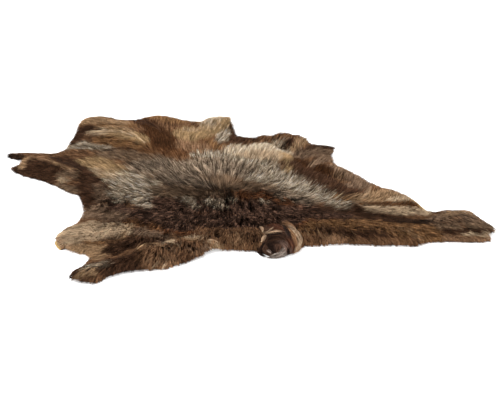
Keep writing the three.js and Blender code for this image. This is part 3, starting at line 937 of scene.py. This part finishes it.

# %% [markdown]
# ## Wisps
#
# Here and there a thin wisp of hair lies over its neighbours: a pale line along a fold, a dark line of
# painted shade where the coat is creased, a curl on the thigh. Each wisp follows a bow through three
# pixels, and a ray finds the surface under every ring of every hair.

# %% Lay the wisps
Wisp = namedtuple("Wisp", "place start middle end half tone hairs rise")
WISPS = [  # the bow and the half width in pixels, and how far above the surface it lies in millimetres
    # fawn hair with a painted highlight along the left foreleg's ridge
    Wisp("left foreleg, light ridge", (80, 171), (60, 165), (36, 158), 3.0, "fawn", 120, 0),
    Wisp("left foreleg, fork", (31, 160), (28, 164), (19, 168), 3.0, "tan", 46, 0),
    # painted shadow: an ink line beside the left foreleg's ridge
    Wisp("left foreleg, dark line", (88, 174), (72, 165), (58, 159), 3.0, "ink", 154, 0),
    Wisp("left foreleg, far edge", (58, 156), (40, 155), (22, 156), 3.0, "brown", 69, 0),
    Wisp("neck, first ripple", (140, 138), (118, 131), (94, 133), 4.3, "sand", 169, 0),
    Wisp("neck, second ripple", (132, 130), (115, 126), (96, 128), 3.0, "tan", 85, 0),
    Wisp("neck, dark line", (132, 147), (116, 148), (98, 149), 3.0, "umber", 85, 0),
    Wisp("neck, grey line", (107, 147), (92, 144), (74, 146), 3.0, "silver", 69, 0),
    Wisp("neck, line from the notch", (134, 119), (148, 122), (160, 130), 3.8, "umber", 123, 0),
    Wisp("flap, far brown line", (124, 222), (106, 225), (86, 222), 2.2, "umber", 62, 0),
    Wisp("flap, middle brown line", (121, 226), (104, 229), (88, 240), 2.2, "brown", 30, 0),
    Wisp("flap, near brown line", (104, 243), (88, 242), (70, 245), 2.2, "brown", 40, 0),
    Wisp("flap, pale back", (94, 233), (78, 230), (66, 236), 5.8, "sand", 123, 0),
    Wisp("flap, pale root", (124, 229), (108, 231), (96, 236), 4.3, "sand", 100, 0),
    Wisp("thigh, fawn arc", (136, 250), (150, 244), (166, 248), 3.0, "tan", 50, 3),
    Wisp("thigh, shadow of the arc", (136, 244), (150, 240), (166, 243), 3.0, "ink", 77, 0),
    Wisp("thigh, pale curl", (165, 241), (174, 242), (180, 249), 3.0, "sand", 77, 3),
    Wisp("thigh, far pale curl", (182, 237), (192, 240), (205, 236), 2.2, "tan", 30, 3),
    Wisp("thigh, far curl", (138, 236), (150, 232), (162, 236), 3.0, "mauve", 34, 3),
    Wisp("thigh, whiskers", (205, 242), (214, 243), (221, 250), 3.8, "sand", 100, 3),
    Wisp("thigh, near whiskers", (204, 246), (211, 248), (214, 252), 3.0, "pale", 46, 3),
    Wisp("thigh, hook", (178, 254), (170, 258), (171, 266), 1.8, "tan", 38, 0),
    Wisp("thigh, near strand", (160, 256), (157, 264), (150, 270), 2.2, "sand", 42, 3),
    Wisp("thigh, second near strand", (168, 258), (165, 265), (161, 270), 2.2, "sand", 42, 3),
    Wisp("thigh, third near strand", (150, 256), (146, 263), (140, 269), 2.2, "tan", 38, 0),
    Wisp("thigh, fourth near strand", (185, 250), (183, 257), (178, 264), 2.2, "tan", 38, 0),
    Wisp("rump, strand by the tail", (248, 230), (250, 240), (247, 249), 1.8, "umber", 40, 0),
    Wisp("left hind leg, silver streak", (112, 265), (98, 264), (83, 271), 3.0, "pale", 92, 0),
    Wisp("left hind leg, tan streak", (95, 272), (86, 272), (76, 277), 2.2, "sand", 54, 0),
    Wisp("rosette, flecks", (122, 199), (114, 193), (107, 194), 3.0, "silver", 46, 0),
    Wisp("ruffle, light fold", (294, 147), (299, 142), (305, 137), 3.8, "mauve", 60, 0),
    # painted shadow: an ink wisp in the ruffle's crease
    Wisp("ruffle, crease", (282, 148), (287, 143), (293, 138), 3.0, "ink", 85, 0),
    Wisp("flank, light fold", (312, 164), (320, 161), (330, 163), 3.0, "mauve", 50, 0),
    # painted shade: an umber wisp along the right flap's crease
    Wisp("right flap, crease", (358, 203), (385, 202), (418, 206), 2.2, "umber", 116, 0),
    Wisp("right flap, crest", (354, 201), (375, 206), (402, 206), 3.0, "sand", 92, 0),
    Wisp("right flap, far stripes", (362, 198), (366, 193), (372, 186), 3.8, "sand", 46, 0),
    # painted shade: ink wisps in the crease beside the right flap
    Wisp("crease beside the flap, far part", (358, 212), (380, 215), (402, 219), 3.0, "ink", 190, 0),
    Wisp("crease beside the flap, near part", (400, 220), (420, 221), (442, 224), 2.4, "ink", 190, 0),
    Wisp("right hind leg, line", (446, 230), (470, 233), (492, 235), 1.8, "ink", 77, 0),
    Wisp("right hind leg, pale line", (466, 235), (482, 235), (495, 236), 1.5, "sand", 38, 0),
    Wisp("rump, near curls", (325, 233), (331, 239), (343, 243), 3.8, "tan", 62, 3),
    Wisp("rump, right streak", (398, 226), (410, 232), (420, 241), 3.8, "sand", 46, 0),
    Wisp("rump, right dark streak", (404, 226), (413, 233), (421, 238), 2.2, "ink", 38, 0),
    Wisp("rump, first curl", (306, 230), (311, 238), (318, 243), 1.8, "tan", 46, 3),
    Wisp("rump, second curl", (318, 230), (322, 237), (330, 242), 1.8, "tan", 46, 3),
    Wisp("rump, dark curl", (312, 229), (316, 237), (324, 242), 1.6, "ink", 40, 0),
    Wisp("rump, dark curl, right", (345, 231), (352, 238), (364, 242), 1.8, "ink", 46, 0),
    Wisp("rump, light curl, right", (352, 230), (360, 237), (374, 241), 1.8, "tan", 40, 0),
    Wisp("rump, far dark curl", (380, 229), (390, 236), (404, 241), 1.8, "umber", 46, 0),
    Wisp("rump, left strand", (236, 230), (240, 238), (243, 248), 2.2, "tan", 24, 0),
    Wisp("rump, second left strand", (229, 232), (232, 240), (230, 249), 2.2, "fawn", 24, 0),
]


PIXEL = 2.65 * MM  # what a pixel spans at the middle of the hide


def bow(start, middle, end, t):
    """Points along a bow through three pixels, for t from 0 to 1, and the way across it."""
    start, middle, end = (np.array(pixel, float) for pixel in (start, middle, end))
    t = t[..., None]
    at = (1 - t) * (1 - 2 * t) * start + 4 * t * (1 - t) * middle + t * (2 * t - 1) * end
    along = unit((4 * t - 3) * start + 4 * (1 - 2 * t) * middle + (4 * t - 1) * end)
    return at, np.stack([-along[..., 1], along[..., 0]], -1)


def lay_wisps(name, wisps, tones, rings, length, width, finish, mingled):
    """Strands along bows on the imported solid, as one piece. Mingled ones take up the coat at their sides."""
    paths, colours = [], []
    for wisp in wisps:
        count = round(wisp.hairs * SHARE)
        ends = np.array([wisp.start, wisp.middle, wisp.end], float)
        bow_length = np.linalg.norm(ends[1:] - ends[:-1], axis=1).sum() * PIXEL
        span = np.clip(length / bow_length, 0.1, 1) * rng.uniform(0.7, 1.2, count)
        first = rng.beta(1.6, 1.6, count) * (1.3 - span) - 0.15
        t = first[:, None] + span[:, None] * np.linspace(0, 1, rings)
        at, across = bow(wisp.start, wisp.middle, wisp.end, t)
        taper = np.clip(1 - (2 * t - 1) ** 4, 0.35, 1)
        strands = 3 + round(3 * wisp.half)
        strand = rng.integers(0, strands, count)
        lane = rng.normal(0, 0.5, strands)[strand] + rng.normal(0, 0.12, count)
        sideways = lane[:, None] * wisp.half * taper
        sideways += rng.normal(0, 0.12, (count, rings)) * np.linspace(0, 1, rings)
        found = [seen_through(pixel) for pixel in (at + sideways[..., None] * across).reshape(-1, 2)]
        point, normal = (np.array(part).reshape(count, rings, 3) for part in zip(*found))
        above = wisp.rise + rng.uniform(-2, 1, (count, 1)) - 4 * (1 - np.linspace(0, 1, rings)) ** 2
        root, tip = (np.tile(linear(colour), (count, 1)) for colour in tones[wisp.tone][:2])
        vary = 0.4 * rng.normal(0, 1, count) + rng.normal(0, 0.35, strands)[strand]
        on_hide = np.ones(count, bool)
        if mingled:
            coat_root, coat_tip, _ = coat_tones(point[:, 1, :2], rng.random(count))
            beside = 1.3 * np.abs(sideways[:, :1]) / wisp.half
            share = np.clip(beside + rng.uniform(-0.3, 0.3, (count, 1)), 0, 1)
            root, tip = root * (1 - share) + coat_root * share, tip * (1 - share) + coat_tip * share
            over = heights(solid_tree, point[..., :2].reshape(-1, 2))[0].reshape(count, rings)
            on_hide = ~np.isnan(over).any(1)
        fade = np.linspace(0.45, 1, rings)[:, None]
        shades = (root[:, None] * (1 - fade) + tip[:, None] * fade) * np.exp(vary)[:, None, None]
        paths.append((point + above[..., None] * MM * normal)[on_hide])
        colours.append(shades[on_hide])
    paths, colours = np.concatenate(paths), np.clip(np.concatenate(colours), 0, BRIGHTEST)
    along = unit(paths[:, 1:] - paths[:, :-1] + 1e-9)
    side = unit(np.cross(along, np.array(UP) + 0.3 * rng.normal(0, 1, (len(paths), 1, 3))))
    widths = np.linspace(width, 0.5 * width, rings - 1)
    return join_hairs(name, paths, side, widths, colours, finish)


coat_pieces.append(lay_wisps("wisps", WISPS, TONES, 4, 30 * MM, 1.0, guard_hair, True))

# %% [markdown]
# ## The tail
#
# The tail is left on the hide, and it is curled into a tuft. Its outside is an arch of tan hair, the
# roll inside it is dark brown, and the white underside of its tip shows at the bottom. Brown hair is
# laid along arcs over a low dome, and tresses, made as the wisps are, lie over it. The dark hollow and
# the dark middle of the tip are painted shade, and the top is brown hair with painted shade.

# %% Tail hair
TAIL_SIDE, TAIL_UP = np.array([52, 0, 0]) * MM, np.array([0, 38, 22]) * MM
TAIL_OUT = 30 * MM * unit(np.cross(TAIL_SIDE, TAIL_UP))
TAIL_HAIRS = round(5000 * SHARE)
TAIL_TONES = {  # root, tip
    "tan": ("#43352A", "#9A7F66"),
    "cream": ("#57483A", "#B59C80"),
    "gold": ("#35251A", "#7D5C42"),
    "redbrown": ("#20130C", "#4C3023"),
    "brown": ("#1B120C", "#412E24"),
    "dark": ("#0A0705", "#231813"),
    "rosy": ("#2A1F1A", "#5F4A40"),
    "grey": ("#382F2A", "#7C6C62"),
    "white": ("#574D45", "#A2958A"),
}
TRESSES = [
    Wisp("arch, root", (281, 223), (288, 225), (296, 231), 3.4, "gold", 400, 1),
    Wisp("arch, outside", (288, 226), (296, 234), (298, 247), 3.4, "tan", 800, 3),
    Wisp("arch, inside", (285, 228), (293, 236), (296, 247), 3.0, "gold", 500, 2),
    Wisp("arch, light", (293, 230), (299, 238), (299, 247), 2.6, "cream", 200, 4),
    Wisp("arch, end", (299, 240), (299, 247), (293, 253), 2.8, "tan", 420, 3),
    Wisp("arch, shade", (284, 226), (288, 234), (291, 244), 2.4, "dark", 380, 3),
    Wisp("arch, inner brown", (286, 238), (290, 244), (292, 252), 3.0, "redbrown", 480, 4),
    Wisp("tip, brown right side", (287, 244), (290, 248), (290, 253), 1.6, "rosy", 160, 4),
    Wisp("tip, dark parting", (288, 246), (288, 250), (287, 254), 1.2, "dark", 200, 5),
    # brown hair with painted shade on the tail's top
    Wisp("top, middle", (268, 226), (276, 228), (284, 232), 5.0, "redbrown", 700, 2),
    Wisp("top, left", (261, 228), (267, 229), (273, 232), 3.0, "brown", 350, 1),
    Wisp("cream line", (284, 232), (274, 232), (264, 234), 1.2, "tan", 110, 4),
    Wisp("cream fork", (274, 227), (271, 230), (265, 234), 1.0, "tan", 70, 4),
    # painted shade in the tail's hollow
    Wisp("hollow", (284, 236), (275, 236), (267, 239), 4.6, "dark", 700, 2),
    Wisp("roll", (267, 244), (276, 240), (287, 245), 3.4, "brown", 500, 3),
    Wisp("roll, rosy", (276, 242), (283, 243), (288, 249), 2.6, "rosy", 380, 4),
    # painted shade in the hollow middle of the tail's tip
    Wisp("tip, dark middle", (268, 243), (272, 247), (274, 253), 4.2, "dark", 700, 3),
    Wisp("tip, rosy side", (279, 242), (285, 246), (287, 253), 3.0, "rosy", 300, 4),
    Wisp("tip, pale side", (285, 246), (284, 251), (277, 255), 3.4, "grey", 520, 4),
    Wisp("tip, white side", (286, 249), (284, 252), (278, 256), 2.0, "white", 140, 4),
    Wisp("tip, white fringe", (287, 252), (280, 255), (271, 256), 1.8, "white", 200, 5),
    Wisp("tip, near rim", (284, 255), (276, 257), (267, 257), 1.6, "grey", 150, 4),
    Wisp("tip, left white tuft", (267, 251), (269, 252), (271, 254), 0.9, "grey", 40, 5),
    Wisp("tip, dark left rim", (264, 244), (261, 251), (266, 257), 2.2, "dark", 380, 4),
    Wisp("left, far tuft", (260, 226), (262, 228), (263, 232), 1.4, "tan", 60, 2),
    Wisp("left, middle tuft", (265, 235), (264, 238), (262, 242), 1.6, "tan", 110, 3),
    Wisp("left, near strand", (262, 241), (260, 246), (260, 252), 1.4, "gold", 80, 3),
]


def on_the_tail(meridian, turn, above):
    """Points over the tail: meridians run from its top at 90 degrees down to its foot at -90."""
    x, y = meridian * np.cos(turn), np.sin(turn)
    out = np.sqrt(np.clip(1 - x**2 - y**2, 0.02, 1))
    ways = x[:, None] * TAIL_SIDE + y[:, None] * TAIL_UP + out[:, None] * TAIL_OUT
    points = []
    for way, rise in zip(ways, above):
        hit, normal, *_ = solid_tree.ray_cast(Vector(TAIL_MIDDLE + 3 * way), Vector(-way))
        points.append(np.array(hit) + rise * np.array(normal))
    return np.array(points)


def grow_tail(finish):
    """The brown hairs under the tresses, each a short way down its meridian."""
    meridian = np.sin(rng.uniform(-1.57, 1.57, TAIL_HAIRS)) + rng.normal(0, 0.05, TAIL_HAIRS)
    start = np.arcsin(rng.uniform(-0.9, 1, TAIL_HAIRS))
    span = rng.uniform(0.5, 0.95, TAIL_HAIRS)
    above = rng.uniform(-5, 0, TAIL_HAIRS) * MM
    sway = rng.normal(0, 0.10, TAIL_HAIRS)
    paths = np.stack(
        [
            on_the_tail(meridian + sway * t, np.maximum(start - span * t, -1.5), above * (1.2 - t))
            for t in np.linspace(0, 1, 4)
        ],
        1,
    )
    root, tip = (np.array(linear(colour)) for colour in TAIL_TONES["brown"])
    fade = np.array([0.2, 0.55, 0.85, 1.0])[:, None]
    lightness = np.exp(0.4 * rng.normal(0, 1, TAIL_HAIRS))[:, None, None]
    colours = np.clip((root * (1 - fade) + tip * fade) * lightness, 0, BRIGHTEST)
    side = unit(np.cross(unit(paths[:, 1:] - paths[:, :-1]), TAIL_OUT))
    return join_hairs("tail_hair", paths, side, [2.2, 1.8, 1.3], colours, finish)


coat_pieces.append(grow_tail(guard_hair))
coat_pieces.append(lay_wisps("tail_tresses", TRESSES, TAIL_TONES, 4, 24 * MM, 1.1, guard_hair, False))


# %% Skin finish
def leather_finish(name, colour, roughness):
    """Tanned skin: a suede side with soft blotches a hand wide and a fine nap."""
    finish, tree, shader = new_finish(name)
    place = add_node(tree, "ShaderNodeTexCoord")
    blotches = add_node(
        tree, "ShaderNodeTexNoise", {"Scale": 1 / (60 * MM), "Detail": 4.0}, {"Vector": (place, "Object")}
    )
    ramp = add_node(tree, "ShaderNodeValToRGB", links={"Fac": (blotches, "Fac")})
    ramp.color_ramp.elements[0].position = 0.35
    ramp.color_ramp.elements[1].position = 0.65
    ramp.color_ramp.elements[0].color = (*[0.75 * c for c in linear(colour)], 1)
    ramp.color_ramp.elements[1].color = (*linear(colour), 1)
    nap = add_node(
        tree, "ShaderNodeTexNoise", {"Scale": 1 / (1.5 * MM), "Detail": 3.0}, {"Vector": (place, "Object")}
    )
    bump = add_node(
        tree, "ShaderNodeBump", {"Strength": 0.25, "Distance": 0.4 * MM}, {"Height": (nap, "Fac")}
    )
    tree.links.new(ramp.outputs["Color"], shader.inputs["Base Color"])
    tree.links.new(bump.outputs["Normal"], shader.inputs["Normal"])
    shader.inputs["Roughness"].default_value = roughness
    return finish


skin.data.materials.append(leather_finish("hair side of the skin", "#3B2A1D", 0.9))
skin.data.materials.append(leather_finish("suede flesh side", "#D8C8A8", 0.9))
skin.data.materials.append(leather_finish("cut edge of the skin", "#A98A52", 0.8))
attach(skin, "root")
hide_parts("hide")

# %% [markdown]
# ## Floor and light
#
# The hide lies on a white floor under soft light from all round, so its shadows are faint.

# %% Floor and light
FLOOR_SIDE = 40
FLOOR_GLOW = 0.45  # keeps the floor white where the hide shades it
SKY_LIGHT = 1.1
bpy.ops.mesh.primitive_plane_add(size=FLOOR_SIDE)
floor = bpy.context.object
floor.name = "floor"
white, _, white_shader = new_finish("white floor")
white_shader.inputs["Base Color"].default_value = (0.93, 0.93, 0.93, 1)
white_shader.inputs["Roughness"].default_value = 0.9
white_shader.inputs["Specular IOR Level"].default_value = 0.0
white_shader.inputs["Emission Color"].default_value = (1, 1, 1, 1)
white_shader.inputs["Emission Strength"].default_value = FLOOR_GLOW
floor.data.materials.append(white)

world = bpy.data.worlds.new("studio")
bpy.context.scene.world = world
world.use_nodes = True
world.node_tree.nodes["Background"].inputs["Color"].default_value = (1, 1, 1, 1)
world.node_tree.nodes["Background"].inputs["Strength"].default_value = SKY_LIGHT

Lamp = namedtuple("Lamp", "name place size power")
for lamp in [Lamp("key", (-1.6, -1.0, 2.6), 1.4, 95), Lamp("fill", (1.8, -2.2, 2.2), 2.5, 25)]:
    bpy.ops.object.light_add(type="AREA", location=lamp.place)
    light = bpy.context.object
    light.name = lamp.name
    light.data.size = lamp.size
    light.data.energy = lamp.power
    light.rotation_euler = (-Vector(lamp.place)).to_track_quat("-Z", "Y").to_euler()

bpy.context.scene.view_settings.view_transform = "Standard"
